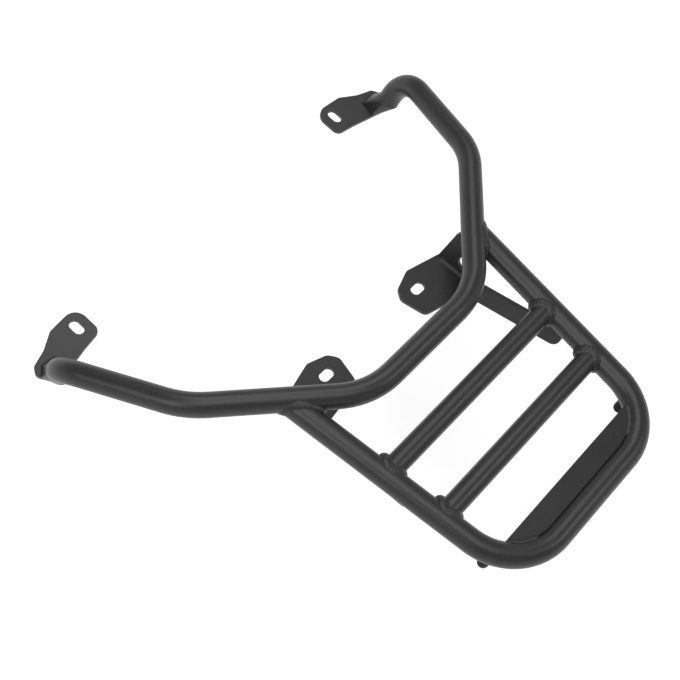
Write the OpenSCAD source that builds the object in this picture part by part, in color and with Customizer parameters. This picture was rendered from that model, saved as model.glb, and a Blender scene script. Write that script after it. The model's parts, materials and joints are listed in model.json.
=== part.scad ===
// Welded tubular luggage rack for a motorcycle tail.
// A wide bent hoop carries a narrow U-shaped platform behind it, with two
// crossbars, a flat plate in the rear bend and four slotted mounting feet.
// Frame: X to the rider's right, Y forward, Z up, millimetres. The origin lies
// midway between the two middle slots, on the flanges' lower face. The shapes are
// laid out about the hoop's rear run and the platform's mid plane, then moved.

/* [Tubes] */
// Outer diameter of the hoop tube and the platform tube
tube_d = 20; // [18:0.5:21]
// Wall thickness of every tube
tube_wall = 2; // [1.5:0.25:2.5]
// Outer diameter of the two crossbars
bar_d = 18; // [15:0.5:18]

/* [Hoop] */
// Half distance between the two corners of the hoop's rear run
hoop_rear_half = 66; // [62:1:72]
// Height of the hoop's rear run above the platform plane
hoop_rise = 6; // [4:0.5:7]
// Half width at the hoop's second pair of bends
hoop_mid_half = 174; // [168:1:182]
// Forward position of the second pair of bends
hoop_mid_y = 92; // [86:1:98]
// Half width at the front pair of bends
arm_half = 213; // [208:1:220]
// Forward position of the front pair of bends
arm_y = 191; // [185:1:197]
// Drop of the front pair of bends below the platform plane
arm_drop = 29; // [25:1:34]
// Bend radius at the corners of the rear run, on the tube's centre line
bend_rear = 70; // [60:1:80]
// Bend radius at the second pair of bends
bend_mid = 64; // [50:1:80]
// Bend radius at the front pair of bends
bend_front = 30; // [26:1:32]

/* [Front feet] */
// Half distance between the two front slots
foot_slot_half = 161; // [156:1:165]
// Forward position of the front slots
foot_slot_y = 220.4; // [216:0.2:224]
// Drop of the front feet's middle below the platform plane
foot_drop = 77; // [73:0.5:82]
// Width of a flattened foot across its slot
foot_w = 29.5; // [28:0.5:31]
// Thickness of the flattened tube
foot_t = 3.6; // [3.2:0.2:4.4]
// Bore of the vent hole under the hoop's rear run
vent_d = 5; // [3:0.5:6]

/* [Platform] */
// Half width of the platform tube's centre line at the rear corners
deck_rear_half = 92.5; // [88:0.5:97]
// Outward lean of each side rail, in degrees
rail_splay = 5.9; // [3:0.1:8]
// Distance from the origin back to the rear run's centre line
deck_len = 176.4; // [165:0.2:190]
// Bend radius of the platform's rear corners
bend_deck = 52; // [45:1:58]
// Distance from the origin back to the front crossbar
bar_front_y = 51; // [46:0.2:58]
// Distance from the rear run's centre line forward to the rear crossbar
bar_rear_fore = 73.2; // [64:0.2:80]
// Reach of the rear plate, from the rear run's centre line forward
plate_reach = 27; // [23:0.5:33]
// Thickness of the rear plate
plate_t = 3; // [2:0.5:4]
// Height of the rear plate's upper face above the platform plane
plate_rise = 5; // [3.5:0.25:6]

/* [Middle brackets] */
// Half distance between the two middle slots
mid_slot_half = 58.5; // [56:0.5:61]
// Forward position of the middle slots
mid_slot_y = 42.3; // [40:0.1:44]
// Drop of the brackets' slotted flange below the platform plane
flange_drop = 37; // [34:0.5:40]
// Thickness of the bracket sheet
sheet_t = 4; // [3:0.5:5]
// Outward lean of the bracket's upright web, in degrees
web_lean = 16.4; // [14:0.2:19]
// Distance from the rail's centre line in to the fold line
fold_in = 7.4; // [6:0.2:9]
// Distance from the origin back to the middle of the strap's round end
strap_back = 67; // [60:1:72]
// Inner radius of the fold between flange and web
fold_r = 4; // [2:0.5:6]
// Diameter of the lightening hole in each web
web_hole_d = 13; // [10:0.5:15]
// Width of the strap that runs back to the side rail
strap_w = 17.5; // [16:0.5:20]

/* [Slots] */
// Width of all four mounting slots
slot_w = 9; // [8:0.5:10]
// Overall length of all four mounting slots
slot_l = 14.5; // [12:0.5:16]

/* [Strap pins] */
// Diameter of the round-ended pins under the rear corners
pin_d = 9.5; // [8:0.5:11]
// Length of a pin below the platform tube
pin_len = 19; // [15:0.5:24]
// Distance from the rear run's centre line forward to the pins
pin_fore = 28.5; // [28:0.5:60]

/* [Welds] */
// Size of the weld beads
bead = 2; // [1.5:0.25:2.5]

/* [Hidden] */
$fn = 96;
paint = "#2e2e30";
bead_paint = "#29292b";
r_tube = tube_d / 2;
r_bar = bar_d / 2;
bar_rear_y = deck_len - bar_rear_fore;
// A straight length runs this far into a bend, whose wall is this much thicker
lap = 0.4;
swell = 0.02;

// Vector helpers
function unit(v) = v / norm(v);
function flip(p) = [-p[0], p[1], p[2]];
function turn_deg(a, b) = acos(unit(a) * unit(b));
function cut_back(p, q, s, r) = r * tan(turn_deg(q - p, s - q) / 2);

// Corner points of the hoop's centre line on the right, from the rear run on
h1 = [hoop_rear_half, 0, hoop_rise];
h2 = [hoop_mid_half, hoop_mid_y, 0];
h3 = [arm_half, arm_y, -arm_drop];
leg = unit([-0.332, 0.083, -0.94]);
neck_z = 18 - foot_drop;
h4 = h3 + leg * ((neck_z + arm_drop) / leg[2]);
hoop_pts = [flip(h4), flip(h3), flip(h2), flip(h1), h1, h2, h3, h4];
hoop_radii = [0, bend_front, bend_mid, bend_rear, bend_rear, bend_mid, bend_front, 0];

// The platform's centre line: each rail leaves its rear corner with the splay
function rail_x(y) = deck_rear_half + (y + deck_len) * tan(rail_splay);
function hoop_side_y(x) = (x - h1[0]) * h2[1] / (h2[0] - h1[0]);
// Where the rail's centre line meets the hoop's, seen from above
slope = h2[1] / (h2[0] - h1[0]);
join_y = slope * (rail_x(0) - h1[0]) / (1 - slope * tan(rail_splay));
join_r = [rail_x(join_y), join_y, 0];
deck_r = [deck_rear_half, -deck_len, 0];
deck_pts = [flip(join_r), flip(deck_r), deck_r, join_r];
deck_radii = [0, bend_deck, bend_deck, 0];

// Bring a shape drawn along +Z onto the line from p to q
module along(p, q) {
    a = unit(q - p);
    s = abs(a[2]) < 0.9 ? [0, 0, 1] : [1, 0, 0];
    x = unit(cross(s, a));
    y = cross(a, x);
    multmatrix([[x[0], y[0], a[0], p[0]],
                [x[1], y[1], a[1], p[1]],
                [x[2], y[2], a[2], p[2]],
                [0, 0, 0, 1]])
        children();
}

// One straight length of tube, solid when the wall is 0
module straight(p, q, d, wall) {
    along(p, q)
        difference() {
            cylinder(d = d, h = norm(q - p));
            if (wall > 0)
                translate([0, 0, -1])
                    cylinder(d = d - 2 * wall, h = norm(q - p) + 2);
        }
}

// The bend at q of a centre line that runs from p over q to s
module elbow(p, q, s, r, d, wall) {
    a = unit(q - p);
    b = unit(s - q);
    m = unit(b - a * (a * b));
    c = q - a * cut_back(p, q, s, r) + m * r;
    z = cross(a, m);
    multmatrix([[-m[0], a[0], z[0], c[0]],
                [-m[1], a[1], z[1], c[1]],
                [-m[2], a[2], z[2], c[2]],
                [0, 0, 0, 1]])
        rotate_extrude(angle = acos(a * b))
            translate([r, 0])
                difference() {
                    circle(d = d);
                    if (wall > 0)
                        circle(d = d - 2 * wall);
                }
}

// A tube bent along a list of corner points with a radius for each
module bent_tube(pts, radii, d, wall) {
    n = len(pts);
    for (i = [0 : n - 2]) {
        a = unit(pts[i + 1] - pts[i]);
        t0 = i == 0 ? 0 : cut_back(pts[i - 1], pts[i], pts[i + 1], radii[i]) - lap;
        t1 = i == n - 2 ? 0
            : cut_back(pts[i], pts[i + 1], pts[i + 2], radii[i + 1]) - lap;
        straight(pts[i] + a * t0, pts[i + 1] - a * t1, d, wall);
    }
    for (i = [1 : n - 2])
        elbow(pts[i - 1], pts[i], pts[i + 1], radii[i], d + 2 * swell,
              wall > 0 ? wall + 2 * swell : 0);
}

// The straight stretches of tube that other pieces are cut to, with extra radius
module hoop_side(extra) {
    straight(h1, h2, tube_d + 2 * extra, 0);
}

module rail(extra) {
    straight(deck_r, join_r, tube_d + 2 * extra, 0);
}

module rail_pair(extra) {
    both_sides()
        rail(extra);
}

// From the layout point, over the hoop's rear run, to the part's own origin
module place() {
    translate([0, -mid_slot_y, flange_drop + sheet_t])
        children();
}

module both_sides() {
    children();
    mirror([1, 0, 0])
        children();
}

// Convex outline with a radius at every corner, in counter-clockwise order
module round_poly(pts, radii) {
    n = len(pts);
    ins = [for (i = [0 : n - 1])
        let (b = pts[i], u = unit(pts[(i + n - 1) % n] - b),
             v = unit(pts[(i + 1) % n] - b), half = acos(u * v) / 2)
        [b + u * radii[i] / tan(half), b + v * radii[i] / tan(half),
         b + unit(u + v) * radii[i] / sin(half)]];
    polygon([for (c = ins) for (k = [0, 1]) c[k]]);
    for (i = [0 : n - 1])
        if (radii[i] > 0.5)
            translate(ins[i][2])
                circle(r = radii[i], $fn = 48);
}

module slot(l, w, h) {
    for (s = [-1, 1])
        translate([s * (l - w) / 2, 0, 0])
            cylinder(d = w, h = h, center = true);
    cube([l - w, w, h], center = true);
}

// Front foot: the tube's end pressed flat, with its slot along the rack
foot_o = [foot_slot_half, foot_slot_y];

function foot_at(x, y) = foot_o + [x, y * foot_w / 29.5];

module foot_plate() {
    difference() {
        translate([0, 0, -foot_drop - foot_t / 2])
            linear_extrude(height = foot_t)
                round_poly([foot_at(-12, -15), foot_at(7, -18.2), foot_at(43.5, -26.5),
                            foot_at(53.5, -10), foot_at(49, -3), foot_at(34, 2.2),
                            foot_at(26, 7), foot_at(18.5, 11.6), foot_at(-12, 14.6)],
                           [7, 0.4, 6, 5, 4, 0.4, 0.4, 8, 11]);
        translate([foot_slot_half, foot_slot_y, -foot_drop])
            rotate([0, 0, 90])
                slot(slot_l, slot_w, 4 * foot_t);
    }
}

// The stretch where the round tube becomes flat
module foot_neck() {
    hull() {
        translate([0, 0, -foot_drop - foot_t / 2])
            linear_extrude(height = foot_t)
                polygon([foot_at(28, -21.5), foot_at(42.5, -24.7), foot_at(50.5, -13),
                         foot_at(44, -6), foot_at(31, -7)]);
        along(h4, h4 + leg)
            translate([0, 0, -1])
                cylinder(d = tube_d + 0.4, h = 1.6, $fn = 32);
    }
}

module hoop_tube() {
    color(paint)
    place() {
        difference() {
            bent_tube(hoop_pts, hoop_radii, tube_d, tube_wall);
            translate([0, 0, hoop_rise - tube_d])
                cylinder(d = vent_d, h = tube_d, $fn = 32);
        }
        both_sides() {
            foot_plate();
            foot_neck();
        }
    }
}

// Platform tube: one U, its open ends coped to the hoop
module platform_tube() {
    color(paint)
        place()
        difference() {
            bent_tube(deck_pts, deck_radii, tube_d, tube_wall);
            both_sides()
                hoop_side(0);
        }
}

module crossbar(y) {
    color(paint)
        place()
        difference() {
            straight([-rail_x(-y), -y, 0], [rail_x(-y), -y, 0], bar_d, tube_wall);
            rail_pair(0);
        }
}

module crossbar_front() {
    crossbar(bar_front_y);
}

module crossbar_rear() {
    crossbar(bar_rear_y);
}

// Flat plate in the rear bend, its edge seated on the tube's inner side
seat = 0.3;
plate_low = plate_rise - plate_t;
plate_in = sqrt(r_tube * r_tube - plate_low * plate_low) - seat;
plate_rear = deck_len - plate_in;

function plate_x(y) = rail_x(-y) - plate_in / cos(rail_splay);

module rear_plate() {
    color(paint)
        place()
        translate([0, 0, plate_low])
            linear_extrude(height = plate_t)
                intersection() {
                    round_poly([[-plate_x(plate_rear), -plate_rear],
                                [plate_x(plate_rear), -plate_rear],
                                [plate_x(deck_len / 2), -deck_len / 2],
                                [-plate_x(deck_len / 2), -deck_len / 2]],
                               [bend_deck - plate_in, bend_deck - plate_in, 0.4, 0.4]);
                    translate([-2 * deck_len, -2 * deck_len])
                        square([4 * deck_len, deck_len + plate_reach]);
                }
}

// Middle bracket: slotted flange, upright web under the hoop, strap to the rail
flange_z = -flange_drop - sheet_t;
fold_half = rail_x(-strap_back) - fold_in;

// Frame of the web: first axis forward, second up the leaning sheet
module web_frame() {
    s = sin(web_lean);
    c = cos(web_lean);
    multmatrix([[0, s, c, fold_half - sheet_t / 2],
                [1, 0, 0, 0],
                [0, c, -s, flange_z],
                [0, 0, 0, 1]])
        children();
}

// Height along the web of a point at depth z
function web_h(z) = (z - flange_z) / cos(web_lean);

module web_outline() {
    top = web_h(2);
    union() {
        polygon([[mid_slot_y + 9.2, 0], [mid_slot_y + 5, web_h(-6)],
                 [mid_slot_y - 2, top], [mid_slot_y - 21, top],
                 [mid_slot_y - 30, web_h(-20)], [mid_slot_y - 36, web_h(-29.5)],
                 [mid_slot_y - 41, web_h(-47)], [mid_slot_y - 33, web_h(-46)],
                 [mid_slot_y - 30, 0]]);
        strap_outline();
    }
}

strap_a = [mid_slot_y - 38, web_h(-39.3)];
strap_b = [-strap_back, web_h(-21.3)];

module strap_outline() {
    d = unit(strap_b - strap_a);
    n = [-d[1], d[0]] * strap_w / 2;
    polygon([strap_a + n, strap_a - n, strap_b - n, strap_b + n]);
    translate(strap_b)
        circle(d = strap_w, $fn = 64);
    polygon([strap_b, strap_b + [12, 0], [strap_b[0] + 11, web_h(-4)],
             [strap_b[0] - 6, web_h(-4)], [strap_b[0] - strap_w / 2, strap_b[1]]]);
}

module flange() {
    o = [mid_slot_half, mid_slot_y];
    difference() {
        translate([0, 0, flange_z])
            linear_extrude(height = sheet_t)
                round_poly([[fold_half + 1, mid_slot_y + 9.2], o + [5, 17.5],
                            o + [-13, 11.5], o + [-19, 3],
                            o + [-13.5, -21], o + [4, -25.5],
                            [fold_half + 1, mid_slot_y - 30]],
                           [0.4, 8, 8, 8, 7, 4, 0.4]);
        translate([mid_slot_half, mid_slot_y, flange_z])
            slot(slot_l, slot_w, 4 * sheet_t);
    }
}

module web_sheet(extra) {
    web_frame()
        translate([0, 0, -extra])
            linear_extrude(height = sheet_t + 2 * extra)
                web_outline();
}

// The fold's inner round, a fillet between the flange and the leaning web
fold_len = 32;

module fold_fillet() {
    k = [fold_half - sheet_t / 2 + sheet_t * tan(web_lean), flange_z + sheet_t];
    u = [sin(web_lean), cos(web_lean)];
    half = (90 + web_lean) / 2;
    reach = fold_r / tan(half);
    c = k + unit(u + [-1, 0]) * fold_r / sin(half);
    translate([0, mid_slot_y + 5, 0])
        rotate([90, 0, 0])
            linear_extrude(height = fold_len)
                difference() {
                    polygon([k + [1, -1], k + [-reach, -1], k + [-reach, 0],
                             k + u * reach, k + u * reach + [1, 0]]);
                    translate(c)
                        circle(r = fold_r, $fn = 48);
                }
}

module bracket() {
    difference() {
        union() {
            flange();
            fold_fillet();
            difference() {
                web_sheet(0);
                web_frame()
                    translate([mid_slot_y - 15, web_h(-25), 0])
                        cylinder(d = web_hole_d, h = 4 * sheet_t, center = true);
            }
        }
        hoop_side(0);
        rail(0);
    }
}

module bracket_right() {
    color(paint)
        place()
        bracket();
}

module bracket_left() {
    color(paint)
        place()
        mirror([1, 0, 0])
            bracket();
}

// Round-ended pin under a rear corner, for hooking straps
pin_back = deck_len - pin_fore;
pin_x = rail_x(-pin_back) - 2.9;

module pin() {
    difference() {
        translate([pin_x, -pin_back, pin_d / 2 - r_tube - pin_len]) {
            cylinder(d = pin_d, h = pin_len - pin_d / 2 + 1.5);
            sphere(d = pin_d);
        }
        elbow(join_r, deck_r, flip(deck_r), bend_deck, tube_d + 2 * swell, 0);
    }
}

module pin_right() {
    color(paint)
        place()
        pin();
}

module pin_left() {
    color(paint)
        place()
        mirror([1, 0, 0])
            pin();
}

// Weld bead on top, where each rail meets the hoop: a run along the mitre
module hoop_welds() {
    color(bead_paint)
        place()
            both_sides()
                difference() {
                    intersection() {
                        hoop_side(bead);
                        straight(join_r, [rail_x(-10), -10, 0],
                                 tube_d + 1.2 * bead, 0);
                        translate([0, 0, 0.3])
                            cube([200, 200, 20]);
                    }
                    hoop_side(0);
                    straight([rail_x(-30), -30, 0], join_r, tube_d, 0);
                }
}

// Weld beads at both ends of both crossbars
module crossbar_welds() {
    color(bead_paint)
        place()
        both_sides()
            for (y = [bar_front_y, bar_rear_y])
                difference() {
                    intersection() {
                        rail(bead);
                        straight([rail_x(-y) - 20, -y, 0], [rail_x(-y), -y, 0],
                                 bar_d + 2 * bead, 0);
                    }
                    rail(0);
                    straight([0, -y, 0], [rail_x(-y), -y, 0], bar_d, 0);
                }
}

// Fillet welds that fill the seam between the plate's ends and the rear bends.
// Along the rear run itself the plate stays a narrow gap away from the tube.
weld_from = asin((bend_deck - plate_reach) / (bend_deck - plate_in)) - rail_splay;
weld_turn = (90 - rail_splay) * 0.43;

module plate_welds() {
    a = unit(deck_r - join_r);
    m = [-cos(rail_splay), sin(rail_splay), 0];
    c = deck_r - a * cut_back(join_r, deck_r, flip(deck_r), bend_deck) + m * bend_deck;
    color(bead_paint)
        place()
        both_sides()
            translate([c[0], c[1], 0])
                rotate([0, 0, -rail_splay - weld_from - weld_turn])
                rotate_extrude(angle = weld_turn)
                    translate([bend_deck, 0])
                        difference() {
                            polygon([[-plate_in - 0.2, plate_rise - 0.2],
                                     [-plate_in - 0.8, plate_rise],
                                     [-plate_in, plate_rise + 1.6],
                                     [-plate_in + 2, plate_rise + 3],
                                     [-plate_in + 4, plate_rise + 3.6],
                                     [-plate_in + 6, plate_rise + 2],
                                     [-plate_in + 1, plate_low + 0.3]]);
                            circle(d = tube_d + 2 * swell);
                            translate([-plate_in - 6, plate_low - 1])
                                square([6, plate_t + 1]);
                        }
}

// Weld beads of the bracket webs, under the hoop and under the rail
module bracket_welds() {
    color(bead_paint)
        place()
        both_sides() {
            difference() {
                intersection() {
                    web_sheet(bead);
                    hoop_side(bead);
                }
                hoop_side(0);
                rail(0);
                web_sheet(0);
            }
            difference() {
                intersection() {
                    web_sheet(bead);
                    straight(deck_r, [rail_x(-40), -40, 0], tube_d + 2 * bead, 0);
                }
                rail(0);
                web_sheet(0);
            }
        }
}

hoop_tube();
platform_tube();
crossbar_front();
crossbar_rear();
rear_plate();
bracket_left();
bracket_right();
pin_left();
pin_right();
hoop_welds();
crossbar_welds();
plate_welds();
bracket_welds();
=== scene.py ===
# Luggage rack: looks, welds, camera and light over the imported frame.
import bpy, bmesh, json, math
from mathutils import Vector, Matrix


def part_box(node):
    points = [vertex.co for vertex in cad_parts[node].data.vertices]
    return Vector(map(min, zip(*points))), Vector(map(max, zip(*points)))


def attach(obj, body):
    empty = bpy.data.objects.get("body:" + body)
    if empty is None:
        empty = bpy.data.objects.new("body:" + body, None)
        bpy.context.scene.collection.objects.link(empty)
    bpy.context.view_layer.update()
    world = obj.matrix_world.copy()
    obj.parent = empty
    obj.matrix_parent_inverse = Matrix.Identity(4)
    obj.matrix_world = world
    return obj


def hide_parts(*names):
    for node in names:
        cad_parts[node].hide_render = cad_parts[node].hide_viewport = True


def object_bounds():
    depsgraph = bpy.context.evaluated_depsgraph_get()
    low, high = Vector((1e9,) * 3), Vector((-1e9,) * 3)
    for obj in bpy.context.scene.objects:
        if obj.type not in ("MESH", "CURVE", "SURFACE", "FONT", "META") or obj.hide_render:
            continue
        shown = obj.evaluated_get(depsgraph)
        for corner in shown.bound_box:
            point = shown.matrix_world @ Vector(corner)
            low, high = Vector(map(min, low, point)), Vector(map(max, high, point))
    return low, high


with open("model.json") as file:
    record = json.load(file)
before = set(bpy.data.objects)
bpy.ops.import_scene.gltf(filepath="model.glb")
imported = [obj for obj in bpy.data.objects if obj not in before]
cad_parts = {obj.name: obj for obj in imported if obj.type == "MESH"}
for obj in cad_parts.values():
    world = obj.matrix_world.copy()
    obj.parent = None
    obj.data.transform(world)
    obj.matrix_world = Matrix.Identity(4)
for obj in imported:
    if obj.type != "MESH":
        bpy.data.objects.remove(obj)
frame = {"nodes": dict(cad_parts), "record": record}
cad_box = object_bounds()
scene = bpy.context.scene

# Materials. Noise scales are per metre of the object's own coordinates.

CLOUD_SCALE = 22.0
GRAIN_SCALE = 900.0
GRAIN_GAIN = 1.7
ROUGH_SPREAD = 0.05
TUBE_PEEL, BEAD_PEEL = 620.0, 340.0
BUMP_STRENGTH = 0.35
EDGE_ROUND_M = 0.0006
EDGE_SAMPLES = 4
COAT_IOR = 1.5
# Sockets of a colour Mix node, which share their names with its other kinds
MIX_FACTOR, MIX_A, MIX_B, MIX_RESULT = 0, 6, 7, 2


def coat(name, base, dark, rough, peel, bump_mm, gloss=0.5):
    """Satin powder coat: orange peel, faint cloudiness, paler grains, rounded edges."""
    material = bpy.data.materials.new(name)
    material.use_nodes = True
    tree = material.node_tree
    nodes, link, shader = tree.nodes, tree.links.new, tree.nodes["Principled BSDF"]
    place = nodes.new("ShaderNodeTexCoord").outputs["Object"]

    def noise(scale, detail, roughness=0.5):
        tex = nodes.new("ShaderNodeTexNoise")
        tex.inputs["Scale"].default_value = scale
        tex.inputs["Detail"].default_value = detail
        tex.inputs["Roughness"].default_value = roughness
        link(place, tex.inputs["Vector"])
        return tex.outputs["Fac"]

    def ramp(source, stops, colours):
        node = nodes.new("ShaderNodeValToRGB")
        for element, stop, colour in zip(node.color_ramp.elements, stops, colours):
            element.position, element.color = stop, (*colour, 1)
        link(source, node.inputs["Fac"])
        return node.outputs["Color"]

    cloud = noise(CLOUD_SCALE, 4.0)
    tone = ramp(cloud, (0.35, 0.65), (dark, base))
    grains = ramp(noise(GRAIN_SCALE, 3.0, 0.6), (0.55, 0.8), ((0, 0, 0), (1, 1, 1)))
    mix = nodes.new("ShaderNodeMix")
    mix.data_type = "RGBA"
    mix.inputs[MIX_B].default_value = (*[GRAIN_GAIN * c for c in base], 1)
    link(tone, mix.inputs[MIX_A])
    link(grains, mix.inputs[MIX_FACTOR])
    link(mix.outputs[MIX_RESULT], shader.inputs["Base Color"])

    spread = nodes.new("ShaderNodeMapRange")
    spread.inputs["To Min"].default_value = rough - ROUGH_SPREAD
    spread.inputs["To Max"].default_value = rough + ROUGH_SPREAD
    link(cloud, spread.inputs["Value"])
    link(spread.outputs["Result"], shader.inputs["Roughness"])

    soft = nodes.new("ShaderNodeBevel")
    soft.samples = EDGE_SAMPLES
    soft.inputs["Radius"].default_value = EDGE_ROUND_M
    bump = nodes.new("ShaderNodeBump")
    bump.inputs["Strength"].default_value = BUMP_STRENGTH
    bump.inputs["Distance"].default_value = bump_mm / 1000
    link(noise(peel, 2.0), bump.inputs["Height"])
    link(soft.outputs["Normal"], bump.inputs["Normal"])
    link(bump.outputs["Normal"], shader.inputs["Normal"])

    shader.inputs["Metallic"].default_value = 0.0
    shader.inputs["IOR"].default_value = COAT_IOR
    shader.inputs["Specular IOR Level"].default_value = gloss
    return material


tube_coat = coat("powder_coat", (0.023, 0.0226, 0.023), (0.019, 0.0188, 0.0194),
                 rough=0.36, peel=TUBE_PEEL, bump_mm=0.12)
sheet_coat = coat("powder_coat_sheet", (0.023, 0.0226, 0.0234), (0.019, 0.0188, 0.0194),
                  rough=0.44, peel=TUBE_PEEL, bump_mm=0.12, gloss=0.42)
# The stubs' coat is the frame's powder coat made far darker and duller: painted shade where they
# sit under the rails
pin_shade_coat = coat("powder_coat_stub_painted_shade", (0.004, 0.004, 0.0042), (0.003, 0.003, 0.0032),
                rough=0.5, peel=TUBE_PEEL, bump_mm=0.08, gloss=0.08)
bead_coat = coat("coated_weld", (0.021, 0.0206, 0.021), (0.017, 0.0168, 0.0174),
                 rough=0.38, peel=BEAD_PEEL, bump_mm=0.10)

SLOTS = {s["node"]: s["material_slot"] for s in frame["record"]["subparts"]}
for name, obj in frame["nodes"].items():
    if name.startswith(("bracket_l", "bracket_r", "rear_plate")):
        look = sheet_coat
    elif name.startswith("pin"):
        # The stubs get the coat with painted shade
        look = pin_shade_coat
    else:
        look = tube_coat if SLOTS.get(name) == "powder_coat" else bead_coat
    obj.data.materials.clear()
    obj.data.materials.append(look)

# Sizes that the welds follow, in millimetres about the middle of the hoop's rear run

TUBE_R, BAR_R = 10.0, 9.0
PLACE = Vector((0, -42.3, 41.0))
SPLAY = math.radians(5.9)
REAR_HALF, DECK_LEN, BEND = 92.5, 176.4, 52.0
PLATE_TOP, PLATE_T, PLATE_REACH, PLATE_SEAT = 5.0, 3.0, 27.0, 0.3
LEAN, SHEET, FLANGE_Z = math.radians(16.4), 4.0, -41.0
STRAP_Y, FOLD_IN, RAIL_END = -67.0, 7.4, 42.0
HOOP_BEND, HOOP_ARM = Vector((66, 0, 6)), Vector((174, 92, 0))
UP = Vector((0, 0, 1))


def rail_x(y):
    """Where the right rail's middle line is at y."""
    return REAR_HALF + (y + DECK_LEN) * math.tan(SPLAY)


class Round:
    """A round side with radius r about a middle line; out(p) leads from the line to p."""

    def normal(self, p):
        return self.out(p).normalized()

    def on(self, p, sink):
        v = self.out(p)
        return p + v.normalized() * (self.r - sink - v.length)


class Tube(Round):
    """A straight tube's side."""

    def __init__(self, point, along, r):
        self.o, self.a, self.r = Vector(point), Vector(along).normalized(), r

    def out(self, p):
        v = p - self.o
        return v - self.a * v.dot(self.a)


class Bend(Round):
    """A level bend's side, about centre."""

    def __init__(self, centre, bend_r, r):
        self.centre, self.bend_r, self.r = centre, bend_r, r

    def out(self, p):
        v = p - self.centre
        return v - Vector((v.x, v.y, 0)).normalized() * self.bend_r


class Flat:
    """A flat face of sheet: a point on it and its outward normal."""

    def __init__(self, point, normal):
        self.o, self.n = Vector(point), Vector(normal).normalized()

    def normal(self, p):
        return self.n

    def on(self, p, sink):
        return p - self.n * ((p - self.o).dot(self.n) + sink)


RAIL = Tube((rail_x(0), 0, 0), (math.sin(SPLAY), math.cos(SPLAY), 0), TUBE_R)
HOOP = Tube(HOOP_BEND, HOOP_ARM - HOOP_BEND, TUBE_R)

# Weld beads. Lengths are in millimetres.

ARC = 9                     # strips across a bead
PITCH, RIPPLE = 1.9, 0.26   # length and height of its ripples
BOW, RIPPLE_MEAN = 0.9, 0.6
SINK, ROOT = 0.25, 0.9      # how deep its edges and its hidden root lie in the metal
TAPER, TIP = 3.0, 0.03      # length over which an open end thins, and what stays at its tip
WANDER = ((0.07, 2.7, 1.3), (0.05, 1.15, 0.4))  # share, wave length / 2 pi, phase
THIN_CORNER = 0.3


def bead(verts, faces, pts, one, two, legs, crown, closed, first):
    """Sweep one rippled bead along pts, in the corner between two surfaces.

    legs gives the bead's reach on each surface and crown how far it bulges, both
    by the share of the way round; first is a point where the corner is plain, from
    which the sides that the bead lies on are told.
    """
    n = len(pts)
    run, dist = 0.0, []
    for i in range(n):
        dist.append(run)
        run += (pts[(i + 1) % n] - pts[i]).length

    def tangent(i):
        before = pts[i - 1] if closed or i else pts[0]
        after = pts[(i + 1) % n] if closed or i < n - 1 else pts[-1]
        return (after - before).normalized()

    def sides(i):
        c = tangent(i)
        return [c.cross(face.normal(pts[i])).normalized() for face in (one, two)]

    side_one, side_two = sides(first)
    flip_one = 1 if side_one.dot(two.normal(pts[first])) > 0 else -1
    flip_two = 1 if side_two.dot(one.normal(pts[first])) > 0 else -1
    start = len(verts)
    for i, p in enumerate(pts):
        t1, t2 = sides(i)
        t1, t2 = t1 * flip_one, t2 * flip_two
        share, s = i / n, dist[i]
        a, b = legs(share)
        width = sum((k * math.sin(s / wave + phase) for k, wave, phase in WANDER), start=1)
        if not closed:
            end = min(s, dist[-1] - s)
            width *= math.sqrt(min(1.0, TIP + end / TAPER))
        p1 = one.on(p + t1 * a * width, SINK)
        p2 = two.on(p + t2 * b * width, SINK)
        full = (t1 * a + t2 * b) * width
        ctrl = p + full * crown(share)
        lift = full.normalized() if full.length > THIN_CORNER else one.normal(p)
        for k in range(ARC + 1):
            u = k / ARC
            q = p1 * (1 - u) ** 2 + ctrl * 2 * u * (1 - u) + p2 * u ** 2
            phase = math.pi * s / PITCH + BOW * (2 * u - 1) ** 2
            ripple = abs(math.sin(phase)) - RIPPLE_MEAN
            verts.append(q + lift * RIPPLE * ripple * math.sin(math.pi * u) * min(1.0, width))
        verts.append(p - (one.normal(p) + two.normal(p)).normalized() * ROOT)
    ring = ARC + 2
    for i in range(n if closed else n - 1):
        j = (i + 1) % n
        for k in range(ring):
            m = (k + 1) % ring
            faces.append([start + i * ring + k, start + i * ring + m,
                          start + j * ring + m, start + j * ring + k])
    if not closed:
        faces.append([start + k for k in range(ring)])
        faces.append([start + (n - 1) * ring + k for k in reversed(range(ring))])


def make(name, node, beads):
    """Build one piece on the right from its beads, mirror it, and stand it in for node."""
    verts, faces = [], []
    for args in beads:
        bead(verts, faces, *args)
    n = len(verts)
    verts = [(v + PLACE) / 1000 for v in verts]
    verts += [Vector((-v.x, v.y, v.z)) for v in verts]
    faces += [[n + k for k in reversed(f)] for f in faces]
    me = bpy.data.meshes.new(name)
    me.from_pydata([tuple(v) for v in verts], [], faces)
    bm = bmesh.new()
    bm.from_mesh(me)
    bmesh.ops.recalc_face_normals(bm, faces=bm.faces)
    bm.to_mesh(me)
    bm.free()
    me.polygons.foreach_set("use_smooth", [True] * len(me.polygons))
    ob = bpy.data.objects.new(name, me)
    scene.collection.objects.link(ob)
    me.materials.append(bead_coat)
    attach(ob, "root")
    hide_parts(node)


SCAN_STEPS, HALVINGS = 60, 30


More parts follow.
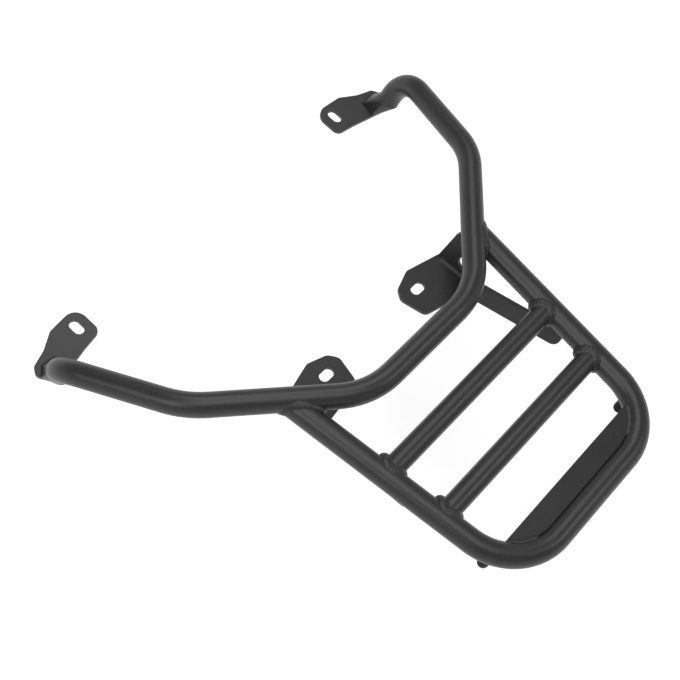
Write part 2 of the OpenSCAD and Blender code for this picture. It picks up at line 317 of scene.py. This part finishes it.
def saddle(small, big, e1, e2, t0, t_end, count):
    """Where a small tube's side meets a big one's, once round the small tube.

    Each line along the small tube is followed from t0 up to t_end of its start; a
    line that misses the big tube ends there.
    """
    pts = []
    for i in range(count):
        w = 2 * math.pi * i / count
        q = small.o + (e1 * math.cos(w) + e2 * math.sin(w)) * small.r
        stop = t_end(q)
        lo, hi = t0, None
        for k in range(1, SCAN_STEPS + 1):
            t = t0 + (stop - t0) * k / SCAN_STEPS
            if big.out(q + small.a * t).length < big.r:
                hi = t
                break
            lo = t
        if hi is None:
            pts.append(q + small.a * stop)
            continue
        for _ in range(HALVINGS):
            mid = (lo + hi) / 2
            if big.out(q + small.a * mid).length < big.r:
                hi = mid
            else:
                lo = mid
        pts.append(q + small.a * hi)
    return pts


BAR_POINTS, BAR_START = 260, -30.0
BAR_LEGS, BAR_MORE = (3.6, 3.4), 1.4
BAR_CROWN, BAR_CROWN_MORE = 0.62, 0.34


def bar_bead(node):
    """Round the right end of a crossbar: fuller in front, flatter behind."""
    lo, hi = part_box(node)
    y = (lo[1] + hi[1]) / 2 * 1000 - PLACE.y
    bar = Tube((rail_x(y), y, 0), (1, 0, 0), BAR_R)
    pts = saddle(bar, RAIL, Vector((0, 1, 0)), UP, BAR_START, lambda q: 0.0, BAR_POINTS)

    def front(share):
        return 0.5 + 0.5 * math.cos(2 * math.pi * share)

    def legs(share):
        return [leg + BAR_MORE * front(share) for leg in BAR_LEGS]

    def crown(share):
        return BAR_CROWN + BAR_CROWN_MORE * front(share)

    return pts, RAIL, bar, legs, crown, True, 0


JOINT_POINTS, JOINT_START = 320, -20.0
JOINT_LEG, JOINT_CROWN = 3.6, 0.72


def joint_bead():
    """Round the end of a side rail; the rail stops at the hoop's middle or is cut square."""
    across = Vector((-HOOP.a.y, HOOP.a.x, 0)).normalized()
    e1 = Vector((math.cos(SPLAY), -math.sin(SPLAY), 0))

    def stop(q):
        return min((HOOP.o - q).dot(across) / RAIL.a.dot(across), RAIL_END)

    pts = saddle(RAIL, HOOP, e1, UP, JOINT_START, stop, JOINT_POINTS)
    return (pts, HOOP, RAIL, lambda s: (JOINT_LEG, JOINT_LEG), lambda s: JOINT_CROWN,
            True, 0)


def web_face(depth):
    """One face of the bracket's leaning web, at its depth in the sheet."""
    fold = rail_x(STRAP_Y) - FOLD_IN
    normal = Vector((math.cos(LEAN), 0, -math.sin(LEAN)))
    o = Vector((fold - SHEET / 2, 0, FLANGE_Z)) + normal * depth
    return Flat(o, normal if depth else -normal)


RISE_FROM, RISE_STEP, RISE_COUNT = 20.0, 0.25, 120


def under(face, tube, y0, y1, count):
    """Where a web face meets the underside of a tube, from y0 to y1."""
    rise = Vector((math.sin(LEAN), 0, math.cos(LEAN)))
    pts = []
    for i in range(count):
        base = Vector((face.o.x, y0 + (y1 - y0) * i / (count - 1), face.o.z))
        best, near = 0.0, math.inf
        for k in range(RISE_COUNT):
            h = RISE_FROM + RISE_STEP * k
            d = tube.out(base + rise * h).length
            if d < near:
                best, near = h, d
            if d < tube.r:
                break
        pts.append(base + rise * best)
    return pts


# Each web bead: depth of the face in the sheet, tube, ends along Y, points, leg
WEB_BEADS = ((0.0, HOOP, 20.0, 42.0, 90, 2.4), (SHEET, HOOP, 24.0, 45.0, 90, 2.4),
             (0.0, RAIL, STRAP_Y - 7, STRAP_Y + 10, 80, 2.0),
             (SHEET, RAIL, STRAP_Y - 7, STRAP_Y + 10, 80, 2.0))
WEB_CROWN = 0.7


def web_beads():
    """Along both faces of a bracket, under the hoop and under the rail."""
    out = []
    for depth, tube, y0, y1, count, leg in WEB_BEADS:
        face = web_face(depth)
        out.append((under(face, tube, y0, y1, count), tube, face,
                    lambda s, leg=leg: (leg, leg), lambda s: WEB_CROWN, False, count // 2))
    return out


PLATE_POINTS, PLATE_SWEEP = 150, 0.43
PLATE_LEGS, PLATE_CROWN = (2.6, 1.5), 0.62


def plate_bead():
    """Along the plate's curved end, in the seam to the rear bend."""
    bend_angle = math.pi / 2 - SPLAY
    corner = Vector((REAR_HALF, -DECK_LEN, 0))
    setback = BEND * math.tan(bend_angle / 2)
    inward = Vector((-math.cos(SPLAY), math.sin(SPLAY), 0))
    c = corner + RAIL.a * setback + inward * BEND
    low = PLATE_TOP - PLATE_T
    edge = math.sqrt(TUBE_R ** 2 - low ** 2) - PLATE_SEAT
    start = math.asin((BEND - PLATE_REACH) / (BEND - edge)) - SPLAY
    pts = []
    for i in range(PLATE_POINTS):
        w = -SPLAY - start - bend_angle * PLATE_SWEEP * i / (PLATE_POINTS - 1)
        pts.append(c + Vector((math.cos(w), math.sin(w), 0)) * (BEND - edge) + UP * PLATE_TOP)
    return (pts, Bend(c, BEND, TUBE_R), Flat(c + UP * PLATE_TOP, UP),
            lambda s: PLATE_LEGS, lambda s: PLATE_CROWN, False, PLATE_POINTS // 2)


make("crossbar_beads", "crossbar_welds", [bar_bead("crossbar_front"), bar_bead("crossbar_rear")])
make("hoop_beads", "hoop_welds", [joint_bead()])
make("bracket_beads", "bracket_welds", web_beads())
make("plate_beads", "plate_welds", [plate_bead()])

# Camera, fitted to the photo: its axes and its place in metres

RIGHT = (0.65383676, -0.73198695, 0.19155313)
TOP = (0.61236097, 0.66062561, 0.43426703)
BACK = (-0.4444227, -0.16664009, 0.88018154)
SPOT = (-0.499408, -0.163855, 0.938785)
LENS_MM, SENSOR_MM = 68.85, 36.0

cam = bpy.data.cameras.new("camera")
cam.sensor_fit = "HORIZONTAL"
cam.sensor_width = SENSOR_MM
cam.lens = LENS_MM
cam.clip_start = 0.01
cam.clip_end = 50.0
camera = bpy.data.objects.new("camera", cam)
camera.matrix_world = Matrix((*zip(RIGHT, TOP, BACK, SPOT), (0, 0, 0, 1)))
scene.collection.objects.link(camera)
scene.camera = camera

# White floor: it glows for the camera and in reflections, and keeps a faint shadow

FLOOR_SIZE, FLOOR_DROP = 8, 0.09
FLOOR_GLOW, FLOOR_SEEN, FLOOR_PLAIN = 0.63, 0.6, 0.8


def seen(nodes, link):
    """1 for camera, glossy and transmission rays."""
    path = nodes.new("ShaderNodeLightPath")
    out = path.outputs["Is Camera Ray"]
    for ray in ("Is Glossy Ray", "Is Transmission Ray"):
        either = nodes.new("ShaderNodeMath")
        either.operation = "MAXIMUM"
        link(out, either.inputs[0])
        link(path.outputs[ray], either.inputs[1])
        out = either.outputs[0]
    return out


def white():
    """The floor's material."""
    material = bpy.data.materials.new("backdrop")
    material.use_nodes = True
    nodes, link = material.node_tree.nodes, material.node_tree.links.new
    nodes.clear()

    def diffuse(grey):
        node = nodes.new("ShaderNodeBsdfDiffuse")
        node.inputs["Color"].default_value = (grey, grey, grey, 1)
        return node.outputs[0]

    glow = nodes.new("ShaderNodeEmission")
    glow.inputs["Color"].default_value = (1, 1, 1, 1)
    glow.inputs["Strength"].default_value = FLOOR_GLOW
    both = nodes.new("ShaderNodeAddShader")
    link(glow.outputs[0], both.inputs[0])
    link(diffuse(FLOOR_SEEN), both.inputs[1])
    pick = nodes.new("ShaderNodeMixShader")
    link(seen(nodes, link), pick.inputs[0])
    link(diffuse(FLOOR_PLAIN), pick.inputs[1])
    link(both.outputs[0], pick.inputs[2])
    out = nodes.new("ShaderNodeOutputMaterial")
    link(pick.outputs[0], out.inputs["Surface"])
    return material


bpy.ops.mesh.primitive_plane_add(size=FLOOR_SIZE, location=(0, 0, cad_box[0][2] - FLOOR_DROP))
floor = bpy.context.active_object
floor.name = "floor"
floor.data.materials.append(white())

# World: pale round the horizon, darker overhead, the same for every ray

SKY = ((0.0, 1.0), (0.2, 0.62), (0.55, 0.33), (0.85, 0.2))  # height of the ray, grey

world = bpy.data.worlds.new("world")
scene.world = world
world.use_nodes = True
nodes, link = world.node_tree.nodes, world.node_tree.links.new
ray = nodes.new("ShaderNodeTexCoord")
height = nodes.new("ShaderNodeSeparateXYZ")
link(ray.outputs["Generated"], height.inputs[0])
sky = nodes.new("ShaderNodeValToRGB")
sky.color_ramp.interpolation = "EASE"
while len(sky.color_ramp.elements) < len(SKY):
    sky.color_ramp.elements.new(0.5)
for element, (stop, grey) in zip(sky.color_ramp.elements, SKY):
    element.position, element.color = stop, (grey, grey, grey, 1)
link(height.outputs["Z"], sky.inputs["Fac"])
link(sky.outputs["Color"], nodes["Background"].inputs["Color"])
nodes["Background"].inputs["Strength"].default_value = 1.0

# Lamps

# Each lamp: name, way to it, distance, width in metres, brightness as seen
LAMPS = (("over", (-0.15, -0.03, 1.0), 1.3, 0.90, 2.2),
         ("left", (-0.73, 0.14, 0.67), 1.7, 0.80, 3.4),
         ("rear", (0.40, -0.55, 0.73), 1.7, 0.60, 3.4),
         ("front", (0.33, 0.38, 0.86), 1.7, 1.05, 2.2))
LAMP_AIM = Vector((0, -0.02, 0))

for name, way, far, width, glow in LAMPS:
    light = bpy.data.lights.new(name, "AREA")
    light.shape = "DISK"
    light.size = width
    # A disk's power is its radiance by pi by its area
    light.energy = glow * math.pi * math.pi * width * width / 4
    lamp = bpy.data.objects.new(name, light)
    way = Vector(way).normalized()
    lamp.location = way * far + LAMP_AIM
    lamp.rotation_mode = "QUATERNION"
    lamp.rotation_quaternion = (-way).to_track_quat("-Z", "Y")
    scene.collection.objects.link(lamp)

scene.view_settings.view_transform = "Standard"
